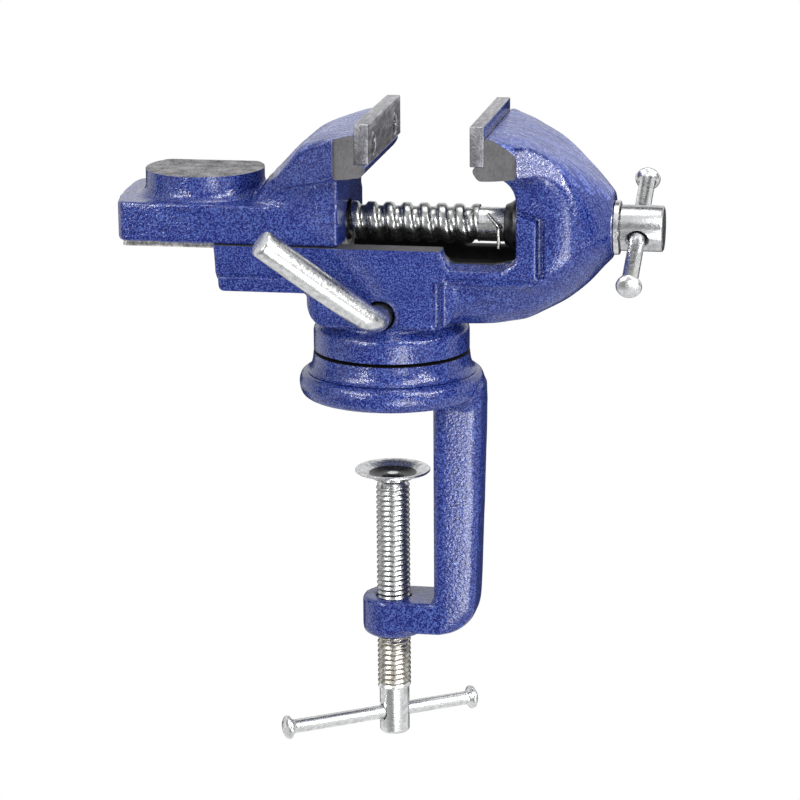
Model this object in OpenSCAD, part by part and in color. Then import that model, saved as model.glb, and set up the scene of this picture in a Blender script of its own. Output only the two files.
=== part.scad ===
// Swivel bench vise: clamp-on table vise with an anvil on the sliding jaw.
// Millimetres, +Z up. The origin is on the swivel axis, in the plane of the bench.
// +X points along the jaw spindle to its handle, -Y to the side with the lock lever.

/* [Jaws] */
// Width of both jaws, along Y
jaw_w = 60; // [48:1:76]
// Opening between the jaw plates
jaw_open = 32.4; // [12:0.2:50]
// Thickness of a jaw plate
plate_t = 4.6; // [3.6:0.1:6]
// Height of a jaw plate
plate_h = 12.9; // [11:0.1:15]
// How far the plates stand above the castings
plate_proud = 3.4; // [1:0.1:5]
// Height of the jaw head castings, above their undersides
head_h = 14; // [12.5:0.1:17]
// Length of the full-width part of the fixed jaw's head
head_l = 10.3; // [8:0.1:13]
// Length of the full-width part of the moving jaw's head
back_head_l = 6.7; // [5.5:0.1:10]
// How far the lip under each plate stands out
lip_l = 3.8; // [2.5:0.1:4.5]
// Spacing of the two screws in a plate
plate_screw_gap = 39; // [28:0.5:44]
// Diameter of the plate screws
plate_screw_d = 4; // [3:0.1:4.4]
// Diameter of the plate screws' heads
plate_screw_head_d = 7.8; // [6.5:0.1:8.6]
// Depth of the plate screws in the castings
plate_screw_depth = 5; // [3:0.1:6]

/* [Vise body] */
// Distance from the swivel axis to the fixed plate's face
fixed_face_x = 30.6; // [27:0.1:34]
// Width of the slide bed and of the slide, along Y
bed_w = 46; // [42:0.5:50]
// Height of the slide bed
bed_h = 15.3; // [14:0.1:18]
// Length of the bed beyond the swivel axis, away from the handle
bed_left = 54.6; // [45:0.5:62]
// Height of the bed's set-back foot
bed_foot_h = 4.9; // [3:0.1:6]
// How far that foot is set back
bed_foot_in = 0.6; // [0.3:0.1:1]
// Height from the bed to the top of the jaw castings
jaw_rise = 38.4; // [36:0.1:44]
// Distance from the swivel axis to the throat's wall
throat_x = 44.2; // [42:0.1:48]
// Distance from the swivel axis to the end of the nose
nose_x = 73.5; // [69:0.5:80]
// Width of the nose's bulb, along Y
bulb_w = 48; // [45:0.5:54]
// Diameter of the nose's end face
nose_d = 22; // [19:0.5:25]
// Width of the boss over the neck, along X
boss_l = 49.5; // [47:0.5:53]
// Height of the boss up to the bed's underside
boss_h = 11; // [10:0.1:14]
// Depth of the notch in the bed's walls
notch_h = 4.9; // [3:0.1:5.5]
// Half width of the channel's mouth between the bed's walls
channel_mouth = 14; // [13.7:0.1:15]
// Half width of the channel's foot under the dovetail
channel_foot = 16.6; // [16.3:0.1:17.5]
// Half width of the trough under the dovetail
trough_half = 13.6; // [13.5:0.1:13.9]
// Depth of the channel, from the bed's top to the trough's floor
channel_h = 9.7; // [9:0.1:11]

/* [Swivel base] */
// Diameter of the base flange
base_d = 61.4; // [58:0.2:66]
// Height of the base flange
base_h = 8.3; // [7:0.1:10]
// Height of the ring above the flange
ring_h = 6.2; // [5:0.1:8]
// Diameter of the ring's top and of the body's neck
neck_d = 51.6; // [48:0.2:54]
// Height of the neck's cylinder
neck_h = 7.4; // [6:0.1:9]
// Height of the shoulder from the neck to the boss
shoulder_h = 3.6; // [2.5:0.1:5]
// Diameter of the pivot post
post_d = 20; // [17:0.5:22]
// Thickness of the swivel washer, which keeps the castings apart
swivel_gap = 0.9; // [0.6:0.1:1.5]
// Outer diameter of the swivel washer
swivel_washer_d = 43; // [36:0.5:45]

/* [Clamp frame] */
// Distance from the swivel axis to the arm's inner face
arm_in_x = 15; // [14.2:0.1:16]
// Distance from the swivel axis to the arm's outer face
arm_out_x = 31.2; // [29:0.1:34]
// How far the arm's outer face leans in at its foot
arm_draft = 2.8; // [0.5:0.1:4]
// Width of the arm, along Y
arm_w = 20.5; // [16:0.5:24]
// Height of the opening for the bench
mouth_h = 70.4; // [55:0.1:80]
// Height of the lower arm
lower_h = 10.8; // [9:0.1:16]
// Diameter of the screw boss
boss_d = 20.8; // [18:0.2:26]
// How far the screw boss stands below the lower arm
boss_drop = 2.4; // [1:0.1:4]
// Radius of the frame's outer corner
arm_corner_r = 9.5; // [6:0.5:12]

/* [Spindle] */
// Height of the spindle's axis above the bed
axis_rise = 4.9; // [4.7:0.1:5.2]
// Diameter over the spindle's thread
thread_d = 13; // [12:0.1:13.2]
// Depth of the spindle's thread
thread_depth = 1.25; // [0.8:0.05:1.4]
// Pitch of the spindle's thread
thread_pitch = 5.8; // [4:0.1:7]
// Diameter of the spindle's shank
shank_d = 11.2; // [10:0.1:11.6]
// Length of the thread beyond the swivel axis, away from the handle
thread_left = 52; // [47:0.5:53]
// Distance from the swivel axis to the thread's end in the throat
thread_right = 29.5; // [26:0.1:32]
// Diameter of the spindle's head
head_d = 15; // [13.5:0.1:17]
// Length of the spindle's head
spindle_head_l = 14; // [12:0.1:17]
// Diameter of the spindle's bar
bar_d = 5.2; // [4.4:0.1:5.6]
// Reach of the spindle's bar on the near side, to the knob's centre
bar_near = 34; // [28:0.5:42]
// Reach of the spindle's bar on the far side, to the knob's centre
bar_far = 30.4; // [26:0.5:42]
// Downward tilt of the bar on the near side, in degrees
bar_tilt = 21; // [0:1:45]
// Diameter of the knobs on the spindle's bar
bar_knob_d = 8.4; // [7:0.1:10]

/* [Slide and anvil] */
// Height of the slide
slide_h = 12.9; // [12.2:0.1:15]
// Length of the slide, from the jaw's front face
slide_l = 77; // [75:0.5:84]
// Diameter of the anvil
anvil_d = 39.2; // [34:0.2:41]
// Height of the anvil above the slide
anvil_h = 8.5; // [6:0.1:12]
// Distance from the moving plate's face to the anvil's centre
anvil_x = 60.1; // [58:0.1:63]
// Distance from the spindle's plane to the anvil's straight back
anvil_back = 12.6; // [9:0.1:16]
// Distance from the moving plate's face to the jaw's front face, below the head
web_x = 11.7; // [10.5:0.1:13]
// Height of the dovetail rail under the slide
rail_h = 2.7; // [2:0.1:3]
// Length of the spindle's nut
nut_l = 16; // [12:0.5:17]
// Width of the spindle's nut
nut_w = 18; // [17:0.5:19]

/* [Lock lever] */
// Diameter of the lever's rod
lever_d = 8.2; // [7:0.1:9]
// How far the bend stands in front of the body
lever_out = 7; // [6:0.1:12]
// Length of the lever's arm
lever_l = 49.5; // [36:0.5:56]
// Angle of the arm in the front view, from the handle's side, in degrees
lever_angle = 138; // [90:1:180]
// Forward lean of the arm out of the front view, in degrees
lever_lean = 24.8; // [10:0.2:40]
// Height of the lever's stem above the boss's underside
lever_rise = 4.4; // [4.2:0.1:5.2]

/* [Clamp screw] */
// Diameter over the clamp screw's thread
clamp_d = 11.3; // [9.5:0.1:12]
// Pitch of the clamp screw's thread
clamp_pitch = 1.75; // [1.25:0.05:2.5]
// Distance from the bench face down to the pad's rim
clamp_gap = 26.3; // [12:0.1:34]
// Length of the clamp screw's thread, below the pad
clamp_thread_l = 72; // [66:0.1:78]
// Length of the clamp screw's head
clamp_head_l = 17.1; // [14:0.1:20]
// Diameter of the clamp screw's head
clamp_head_d = 10.1; // [8.4:0.1:11]
// Diameter of the pad
pad_d = 25.2; // [22:0.1:27]
// Height of the pad's dish
pad_h = 3.8; // [3:0.1:5]
// Diameter of the clamp screw's bar
clamp_bar_d = 4.6; // [3.8:0.1:5]
// Reach of the clamp screw's bar on the near side, to the knob's centre
clamp_bar_near = 39.1; // [32:0.5:48]
// Reach of the clamp screw's bar on the far side, to the knob's centre
clamp_bar_far = 28.8; // [26:0.5:42]
// Angle of the clamp screw's bar to the spindle, seen from above, in degrees
clamp_bar_angle = 34.5; // [0:0.5:90]
// Diameter of the knobs on the clamp screw's bar
clamp_knob_d = 8; // [6.5:0.1:10]

/* [Fits] */
// Radial running clearance of pins, journals and threads
run_gap = 0.06; // [0.03:0.01:0.09]
// Clearance of pressed and seated pieces
seat_gap = 0.02; // [0.01:0.01:0.05]
// Clearance between the slide and its bed
slide_gap = 0.15; // [0.1:0.05:0.3]
// Radial play of the bars in their holes
bar_gap = 0.45; // [0.3:0.05:0.7]

/* [Hidden] */
$fn = 64;

paint = [0.17, 0.25, 0.63];
zinc = [0.80, 0.80, 0.80];
ground = [0.55, 0.55, 0.60];
blackened = [0.10, 0.10, 0.11];
bronze = [0.55, 0.50, 0.42];

// One overrun for every cut, and the thickness of the slices that shape a casting
cut = 1;
slice = 0.1;

// Heights, from the bench up
z_ring = base_h + ring_h;
z_neck = z_ring + swivel_gap;
z_shoulder = z_neck + neck_h;
z_boss = z_shoulder + shoulder_h;
z_foot = z_boss + boss_h;
z_bed = z_foot + bed_h;
z_axis = z_bed + axis_rise;
z_jaw = z_bed + jaw_rise;
z_plate = z_jaw + plate_proud;
z_seat = z_plate - plate_h;
z_head = z_jaw - head_h;
z_slide = z_bed + slide_gap;
z_slide_top = z_slide + slide_h;
z_lever = z_boss + lever_rise;
z_plate_screw = z_seat + 0.41 * plate_h;
body_rise = z_jaw - z_boss;

// Heights, from the bench down
z_mouth = -mouth_h;
z_lower = z_mouth - lower_h;
z_rim = -clamp_gap;
z_pad = z_rim - pad_h;
z_clamp_head = z_pad - clamp_thread_l;
z_clamp_end = z_clamp_head - clamp_head_l;
z_clamp_hole = z_clamp_head - 0.58 * clamp_head_l;

// Stations along the spindle
plate_back_x = fixed_face_x + plate_t;
head_end_x = plate_back_x + head_l;
bulb_x = throat_x + 0.26 * (nose_x - throat_x);
moving_x = fixed_face_x - jaw_open;

// Lays a flat outline in the XZ plane and gives it a thickness w about Y = 0
module across(w) {
    rotate([90, 0, 0]) linear_extrude(w, center = true) children();
}

// Lays a flat outline in the YZ plane and extrudes it from x0 to x1
module along(x0, x1) {
    translate([x0, 0, 0]) rotate([90, 0, 90]) linear_extrude(x1 - x0) children();
}

// Turns a body that was made along Z to lie along X, at the spindle's axis
module on_axis() {
    translate([0, 0, z_axis]) rotate([0, 90, 0]) children();
}

// A ring or a washer of inner radius ri
module ring(ri, ro, h) {
    rotate_extrude() translate([ri, 0]) square([ro - ri, h]);
}

// Takes a round corner of radius r out of a square corner that points to sx, sy
module corner_cut(x, y, sx, sy, r) {
    translate([x, y]) difference() {
        translate([sx > 0 ? -r : -cut, sy > 0 ? -r : -cut]) square([r + cut, r + cut]);
        translate([-sx * r, -sy * r]) circle(r);
        translate([sx > 0 ? -2 * r - cut : r, -2 * r - cut]) square([r + cut, 4 * r + 2 * cut]);
        translate([-2 * r - cut, sy > 0 ? -2 * r - cut : r]) square([4 * r + 2 * cut, r + cut]);
    }
}

// A rectangle with all its corners round
module round_rect(x0, y0, x1, y1, r) {
    difference() {
        translate([x0, y0]) square([x1 - x0, y1 - y0]);
        corner_cut(x0, y0, -1, -1, r);
        corner_cut(x1, y0, 1, -1, r);
        corner_cut(x0, y1, -1, 1, r);
        corner_cut(x1, y1, 1, 1, r);
    }
}

// Points of an arc of radius r about c, from angle a0 to a1
function arc(c, r, a0, a1, n = 8) =
    [for (i = [0:n]) let (a = a0 + (a1 - a0) * i / n) [c[0] + r * cos(a), c[1] + r * sin(a)]];

// A thin slice across X of a casting, given by rows of [half width, height], lowest first
module section(x, rows) {
    along(x, x + slice)
        polygon(concat([for (p = rows) p], [for (i = [len(rows) - 1:-1:0]) [-rows[i][0], rows[i][1]]]));
}

// Half outline of a thread made of rings, [radius, height], from z0 upwards
function ring_thread(root, crest, pitch, turns, z0, shares) =
    [for (i = [0:turns - 1], s = shares) [root + (crest - root) * s[1], z0 + pitch * (i + s[0])]];

// A bar with an upset knob on each end, along X, from -near to far
module knobbed_bar(d, knob_d, near, far) {
    knob_l = 0.42 * knob_d;
    rotate([0, 90, 0]) rotate_extrude() polygon(concat(
        [[0, -near - knob_l / 2]],
        [[knob_d * 0.36, -near - knob_l / 2], [knob_d / 2, -near - knob_l * 0.1],
         [knob_d / 2, -near + knob_l * 0.1], [d / 2, -near + knob_l / 2]],
        [[d / 2, far - knob_l / 2], [knob_d / 2, far - knob_l * 0.1],
         [knob_d / 2, far + knob_l * 0.1], [knob_d * 0.36, far + knob_l / 2]],
        [[0, far + knob_l / 2]]));
}

// Base and clamp frame

// Outline of the flange and the ring, as shares of the flange's radius, height and flare
flange_shares = [[0.93, 0], [0.955, 0.05], [0.978, 0.15], [0.994, 0.33], [1, 0.55], [0.992, 0.75],
    [0.97, 0.9], [0.935, 0.98], [0.915, 1]];
ring_flare_share = 0.34;
post_head_d = 1.4 * post_d;
post_head_h = 0.45 * base_h;

module flange() {
    flare = (base_d - neck_d) / 2 * ring_flare_share;
    rotate_extrude() polygon(concat([[0, 0]], [for (s = flange_shares) [s[0] * base_d / 2, s[1] * base_h]],
        [[neck_d / 2 + flare, base_h], [neck_d / 2 + 0.3 * flare, base_h + 0.45 * ring_h],
         [neck_d / 2, z_ring], [0, z_ring]]));
}

// The C of the frame in the XZ plane: the upright and the lower arm
module frame_outline() {
    inner_r = 0.13 * arm_w;
    difference() {
        polygon([[0, z_lower], [arm_out_x - arm_draft, z_lower], [arm_out_x, 0], [arm_out_x, base_h / 2], [0, base_h / 2]]);
        translate([-cut, z_mouth]) square([arm_in_x + cut, mouth_h]);
        corner_cut(arm_out_x - arm_draft, z_lower, 1, -1, arm_corner_r);
    }
    difference() {
        translate([arm_in_x - inner_r, -inner_r]) square([inner_r + cut, inner_r + cut]);
        translate([arm_in_x - inner_r, -inner_r]) circle(inner_r);
    }
}

module clamp_frame() color(paint) difference() {
    union() {
        flange();
        // the upright, with round long edges, and the lower arm
        intersection() {
            across(arm_w) frame_outline();
            translate([0, 0, z_lower - cut]) linear_extrude(z_ring - z_lower + cut)
                round_rect(-arm_out_x, -arm_w / 2, arm_out_x, arm_w / 2, 0.3 * arm_w);
        }
        translate([0, 0, z_lower - boss_drop]) cylinder(d = boss_d, h = lower_h + boss_drop);
    }
    translate([0, 0, z_lower - boss_drop - cut])
        cylinder(d = clamp_d + 2 * run_gap, h = lower_h + boss_drop + 2 * cut);
    // the post's hole and the recess for its head
    cylinder(d = post_d + 2 * seat_gap, h = z_ring + cut);
    translate([0, 0, -cut]) cylinder(d = post_head_d + 2 * seat_gap, h = post_head_h + seat_gap + cut);
}

groove_depth = 0.1 * post_d;
post_top = z_lever + 0.58 * lever_d;

// The post is pressed in from below and carries the groove for the lock lever
module pivot_post() color(zinc) rotate_extrude() difference() {
    union() {
        square([post_head_d / 2, post_head_h]);
        square([post_d / 2, post_top]);
    }
    polygon([[post_d / 2 + cut, z_lever - lever_d * 0.5 - cut], [post_d / 2 - groove_depth, z_lever - lever_d * 0.3],
        [post_d / 2 - groove_depth, z_lever + lever_d * 0.3], [post_d / 2 + cut, z_lever + lever_d * 0.5 + cut]]);
}

module swivel_washer() color(blackened) translate([0, 0, z_ring])
    ring(post_d / 2 + run_gap, swivel_washer_d / 2, swivel_gap);

// Vise body

// Slices of the nose's bulb: place along the bulb, then rows of half width and height.
// Places are shares of the bulb's length, half widths of bulb_w / 2, heights of body_rise.
bulb_shares = [
    [0.00, [[0.66, 0.117], [1.00, 0.303], [1.00, 0.860], [0.93, 0.890], [0.70, 0.900]]],
    [0.45, [[0.54, 0.210], [1.00, 0.365], [1.00, 0.720], [0.74, 0.800], [0.40, 0.826]]],
    [0.73, [[0.42, 0.280], [0.81, 0.396], [0.81, 0.600], [0.60, 0.700], [0.35, 0.735]]],
    [0.91, [[0.29, 0.318], [0.60, 0.411], [0.60, 0.560], [0.45, 0.650], [0.25, 0.680]]]];
// Slices of the belly under the bed, the same way, with places from the swivel axis to the nose
belly_shares = [
    [0.24, [[0.50, 0.000], [0.71, 0.055], [0.90, 0.262]]],
    [0.49, [[0.52, 0.014], [0.69, 0.074], [0.90, 0.262]]],
    [0.65, [[0.52, 0.065], [0.69, 0.130], [0.94, 0.287]]],
    [0.80, [[0.48, 0.147], [0.65, 0.210], [0.94, 0.334]]],
    [0.91, [[0.38, 0.247], [0.56, 0.292], [0.73, 0.396]]],
    [0.99, [[0.25, 0.331], [0.40, 0.365], [0.44, 0.457]]]];
// Slices of the jaw head behind its full-width part: place to the bulb's widest slice,
// half width, share of the head's height for the underside, the side's top and the crown
taper_shares = [[0.00, 1.00, 0.07, 0.72, 0.75], [0.57, 0.84, 0.09, 0.48, 0.51],
    [1.00, 0.68, 0.05, 0.10, 0.17]];

module nose_bulb() hull() {
    for (s = bulb_shares)
        section(bulb_x + s[0] * (nose_x - bulb_x),
            [for (p = s[1]) [p[0] * bulb_w / 2, z_boss + p[1] * body_rise]]);
    translate([nose_x - slice, 0, z_axis + 0.04 * nose_d]) rotate([0, 90, 0])
        cylinder(d = nose_d, h = slice, $fn = 32);
}

module belly() hull()
    for (s = belly_shares)
        section(s[0] * nose_x, [for (p = s[1]) [p[0] * bulb_w / 2, z_boss + p[1] * body_rise]]);

// A jaw head that points its plate seat to -X, from its seat at x = 0: l0 is the length of its
// full-width part, and l the length that tapers
module jaw_head(l0, l, shares) hull() {
    section(0, [[jaw_w / 2, z_head], [jaw_w / 2, z_jaw]]);
    for (s = shares)
        section(l0 + s[0] * l, [[s[1] * jaw_w / 2, z_head + s[2] * head_h],
            [s[1] * jaw_w / 2, z_head + s[3] * head_h], [0.6 * s[1] * jaw_w / 2, z_head + s[4] * head_h]]);
}

// The lip that carries the plate, on the -X side of the seat
module plate_lip() across(jaw_w) polygon([[slice, z_head], [-0.5 * lip_l, z_head],
    [-lip_l, z_head + 0.6 * (z_seat - z_head)], [-lip_l, z_seat - seat_gap], [slice, z_seat - seat_gap]]);

notch_left = 0.44 * throat_x;
bed_front_r = 0.35 * lip_l;

// The bed, its foot and the column of the throat, as one outline
module bed() {
    across(bed_w) difference() {
        union() {
            polygon([[-bed_left, z_bed], [-bed_left + bed_foot_in, z_foot + bed_foot_h], [bulb_x + cut, z_foot + bed_foot_h],
                [bulb_x + cut, z_jaw - head_h + cut], [throat_x, z_head + cut], [throat_x, z_bed]]);
        }
        // the notch that shows the collar and the pin
        polygon([[notch_left, z_bed + cut], [notch_left, z_bed], [notch_left + 0.6 * notch_h, z_bed - notch_h],
            [throat_x - 0.75 * notch_h, z_bed - notch_h], [throat_x - 0.2 * notch_h, z_bed - 0.75 * notch_h],
            [throat_x, z_bed - 0.2 * notch_h], [throat_x, z_bed + cut]]);
    }
    // the foot, set back a little, with a round end
    across(bed_w - 2 * bed_foot_in) difference() {
        translate([-bed_left + 2 * bed_foot_in, z_foot]) square([bed_left + notch_left, bed_foot_h + cut]);
        corner_cut(-bed_left + 2 * bed_foot_in, z_foot, -1, -1, 0.4 * bed_foot_h);
    }
}

// The boss over the neck: a rounded block with round lower flanks
module boss() intersection() {
    translate([0, 0, z_boss]) linear_extrude(boss_h + bed_foot_h)
        round_rect(-boss_l / 2, -bed_w / 2, boss_l / 2, bed_w / 2, 0.11 * boss_l);
    across(bed_w + cut) difference() {
        translate([-boss_l / 2, z_boss]) square([boss_l, boss_h + bed_foot_h]);
        corner_cut(-boss_l / 2, z_boss, -1, -1, 0.75 * boss_h);
        corner_cut(boss_l / 2, z_boss, 1, -1, 0.75 * boss_h);
    }
}

module neck() rotate_extrude() polygon([[0, z_neck], [neck_d / 2, z_neck], [neck_d / 2, z_shoulder],
    [neck_d / 2 - 1.4 * shoulder_h, z_boss], [neck_d / 2 - 1.4 * shoulder_h, z_foot - cut], [0, z_foot - cut]]);

// The concave corner under the fixed jaw's head
module throat_fillet() {
    r = throat_x - plate_back_x - 0.1 * head_l;
    across(bed_w) polygon(concat([[throat_x + cut, z_head + cut], [throat_x - r, z_head + cut], [throat_x - r, z_head]],
        arc([throat_x - r, z_head - r], r, 90, 0), [[throat_x + cut, z_head - r]]));
}

// The channel for the slide's dovetail, with the trough for the nut's lug
module channel() {
    floor_z = z_bed - channel_h;
    rail_z = z_slide - rail_h - 2 * slide_gap;
    along(-bed_left - cut, throat_x) polygon([[-channel_mouth, z_bed + cut], [-channel_mouth, z_bed],
        [-channel_foot, rail_z], [-trough_half, rail_z], [-trough_half, floor_z], [trough_half, floor_z],
        [trough_half, rail_z], [channel_foot, rail_z], [channel_mouth, z_bed], [channel_mouth, z_bed + cut]]);
}

// The notch's sills slope down to the outside
module notch_sills() for (side = [-1, 1])
    along(notch_left + 0.6 * notch_h, throat_x - 0.75 * notch_h)
        polygon([[side * channel_foot, z_bed - notch_h], [side * (bed_w / 2 + cut), z_bed - notch_h],
            [side * (bed_w / 2 + cut), z_bed - 1.35 * notch_h]]);

// Holes for the plate's screws, from the seat at x = 0 into +X
module plate_screw_holes() for (side = [-1, 1])
    translate([-cut, side * plate_screw_gap / 2, z_plate_screw]) rotate([0, 90, 0])
        cylinder(d = plate_screw_d + 2 * seat_gap, h = plate_screw_depth + cut + seat_gap);

lever_mouth_d = 1.2 * lever_d;

module vise_body() color(paint) difference() {
    union() {
        neck();
        boss();
        bed();
        belly();
        nose_bulb();
        translate([plate_back_x, 0, 0]) {
            jaw_head(head_l, bulb_x + 0.45 * (nose_x - bulb_x) - head_end_x, taper_shares);
            plate_lip();
        }
        throat_fillet();
    }
    channel();
    notch_sills();
    // bore for the spindle's shank
    translate([throat_x - cut, 0, 0]) on_axis()
        cylinder(d = shank_d + 2 * run_gap, h = nose_x - throat_x + 2 * cut);
    // bore for the pivot post
    translate([0, 0, z_neck - cut])
        cylinder(d = post_d + 2 * run_gap, h = post_top - z_neck + cut + 4 * run_gap);
    // hole for the lock lever, with a wider mouth
    translate([0, 0, z_lever]) rotate([90, 0, 0]) {
        cylinder(d = lever_d + 2 * run_gap, h = bed_w);
        translate([0, 0, 0.4 * bed_w]) cylinder(d = lever_mouth_d, h = bed_w);
    }
    translate([plate_back_x, 0, 0]) plate_screw_holes();
}

// A jaw plate that faces -X, with its back at x = 0
module jaw_plate() difference() {
    translate([-plate_t, -jaw_w / 2, z_seat]) cube([plate_t, jaw_w, plate_h]);
    for (side = [-1, 1]) translate([-plate_t, side * plate_screw_gap / 2, z_plate_screw]) rotate([0, 90, 0]) {
        translate([0, 0, -cut]) cylinder(d = plate_screw_d + 2 * seat_gap, h = plate_t + 2 * cut);
        translate([0, 0, -cut]) cylinder(d = plate_screw_head_d + 2 * seat_gap, h = cut + 0.06 * plate_t);
        translate([0, 0, 0.06 * plate_t]) cylinder(d1 = plate_screw_head_d + 2 * seat_gap,
            d2 = plate_screw_d + 2 * seat_gap, h = 0.45 * plate_t);
    }
}

// Two slotted countersunk screws that face -X, with the plate's back at x = 0
module plate_screws() for (side = [-1, 1])
    translate([-plate_t, side * plate_screw_gap / 2, z_plate_screw]) rotate([0, 90, 0]) difference() {
        union() {
            translate([0, 0, 0.06 * plate_t]) cylinder(d1 = plate_screw_head_d, d2 = plate_screw_d, h = 0.45 * plate_t);
            translate([0, 0, 0.5 * plate_t]) cylinder(d = plate_screw_d, h = 0.5 * plate_t + plate_screw_depth);
        }
        translate([-0.08 * plate_screw_head_d, -plate_screw_head_d, -cut])
            cube([0.16 * plate_screw_head_d, 2 * plate_screw_head_d, cut + 0.22 * plate_t]);
    }

module fixed_jaw_plate() color(ground) translate([plate_back_x, 0, 0]) jaw_plate();
module fixed_jaw_screws() color(zinc) translate([plate_back_x, 0, 0]) plate_screws();

// Moving jaw: all of it stands on moving_x, the face of its plate, and points to -X

// The slide's plan, as shares of its length and of half the bed's width
slide_shares = [[0.000, -0.97], [0.62, -0.97], [0.93, -0.91], [0.955, -0.80], [0.980, -0.35], [0.997, 0.20],
    [1.000, 0.75], [0.990, 0.93], [0.968, 1.00], [0.000, 1.00]];
// The jaw's back below the head: place along the slide, half width and height of each corner,
// as shares of the slide's length, of the bed's half width and of the rise to the head's underside
back_shares = [
    [0.00, [[0.93, 0.00], [0.91, 1.00]]],
    [0.20, [[0.96, 0.00], [0.97, 1.12], [0.70, 1.25]]],
    [0.29, [[0.93, 0.00], [0.93, 0.74], [0.60, 0.93]]],
    [0.37, [[0.84, 0.00], [0.80, 0.16], [0.50, 0.26]]]];
// The moving head's taper, the same way as the fixed one's
back_taper_shares = [[0.00, 1.00, 0.02, 0.89, 0.92], [0.25, 0.93, 0.08, 0.73, 0.79],
    [0.59, 0.83, 0.10, 0.50, 0.57], [1.00, 0.75, -0.40, -0.19, 0.04]];
tunnel_gap = 0.4;
tunnel_d = thread_d + 2 * tunnel_gap;
slide_end_x = -web_x - slide_l;
lug_h = 5.4;
lug_w = 26;
lug_in = 1;
lug_l = 22;
nut_wall = 3;
lug_x = web_x + lug_in;
nut_x = lug_x + nut_wall;
nut_z = z_slide - rail_h - 0.75 * lug_h;

module anvil() {
    r = anvil_d / 2;
    f = 0.42 * anvil_h;
    translate([-anvil_x, 0, z_slide_top]) intersection() {
        rotate_extrude() polygon(concat([[0, -cut], [r + f, -cut], [r + f, 0]],
            arc([r + f, f], f, 270, 180), [[r, anvil_h], [0, anvil_h]]));
        translate([-anvil_d, -anvil_d, -cut]) cube([2 * anvil_d, anvil_d + anvil_back, anvil_h + 2 * cut]);
    }
}

module jaw_back() {
    hull() for (s = back_shares)
        section(-web_x - s[0] * slide_l - slice, [for (p = s[1])
            [p[0] * bed_w / 2, z_slide_top - cut + p[1] * (z_head - z_slide_top + cut)]]);
    translate([-plate_t, 0, 0]) mirror([1, 0, 0]) {
        jaw_head(back_head_l, 0.27 * slide_l, back_taper_shares);
        plate_lip();
    }
}

module dovetail() {
    top = channel_mouth - slide_gap;
    foot = channel_foot - 2 * slide_gap;
    along(slide_end_x + 0.05 * slide_l, -web_x)
        polygon([[-top, z_slide + cut], [-top, z_slide], [-foot, z_slide - rail_h],
            [foot, z_slide - rail_h], [top, z_slide], [top, z_slide + cut]]);
}

module moving_jaw() color(paint) translate([moving_x, 0, 0]) difference() {
    union() {
        translate([0, 0, z_slide]) linear_extrude(slide_h)
            polygon([for (s = slide_shares) [-web_x - s[0] * slide_l, s[1] * bed_w / 2]]);
        anvil();
        jaw_back();
        dovetail();
        // the lug round the nut
        translate([-lug_x - lug_l, -lug_w / 2, z_slide - rail_h - lug_h]) cube([lug_l, lug_w, lug_h + rail_h]);
    }
    // the tunnel for the spindle, closed at the far end
    translate([slide_end_x + 0.07 * slide_l, 0, 0]) on_axis()
        cylinder(d = tunnel_d, h = 0.93 * slide_l + cut);
    // the nut's pocket, open below, and the pin's hole
    translate([-nut_x - nut_l - seat_gap, -nut_w / 2 - seat_gap, z_slide - rail_h - lug_h - cut])
        cube([nut_l + 2 * seat_gap, nut_w + 2 * seat_gap, nut_top - z_slide + rail_h + lug_h + cut + seat_gap]);
    nut_pin_hole(seat_gap);
    translate([-plate_t, 0, 0]) mirror([1, 0, 0]) plate_screw_holes();
}

nut_top = z_axis + 0.7 * thread_d;
nut_pin_d = 2.6;
nut_pin_z = nut_z + 0.85 * nut_pin_d;

module nut_pin_hole(gap) translate([-nut_x - nut_l / 2, 0, nut_pin_z]) rotate([90, 0, 0])
    cylinder(d = nut_pin_d + 2 * gap, h = gap > 0 ? lug_w + cut : 0.96 * lug_w, center = true);

module spindle_nut() color(bronze) translate([moving_x, 0, 0]) difference() {
    translate([-nut_x - nut_l, -nut_w / 2, nut_z]) cube([nut_l, nut_w, nut_top - nut_z]);
    translate([-nut_x - nut_l - cut, 0, 0]) on_axis() cylinder(d = thread_d + 2 * run_gap, h = nut_l + 2 * cut);
    nut_pin_hole(seat_gap);
}

module nut_pin() color(zinc) translate([moving_x, 0, 0]) nut_pin_hole(0);

module moving_jaw_plate() color(ground) translate([moving_x - plate_t, 0, 0]) mirror([1, 0, 0]) jaw_plate();
module moving_jaw_screws() color(zinc) translate([moving_x - plate_t, 0, 0]) mirror([1, 0, 0]) plate_screws();

// Spindle and what it carries
washer_t = 1.8;
collar_t = 2.4;
collar_flare = 3.6;
collar_d = 17.2;
pin_d = 2.2;
nose_gap = 0.1;
washer_x = nose_x + nose_gap;
head_x = washer_x + washer_t + nose_gap;
bar_x = head_x + 0.42 * spindle_head_l;
collar_x = throat_x - nose_gap - collar_t;
pin_x = collar_x - collar_flare - 0.62 * pin_d;
rope_shares = [[0, 0], [0.16, 0], [0.3, 0.75], [0.42, 1], [0.74, 1], [0.86, 0.75]];

// The bar's place and direction
module at_bar() translate([bar_x, 0, z_axis]) rotate([bar_tilt, 0, 0]) children();

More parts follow.
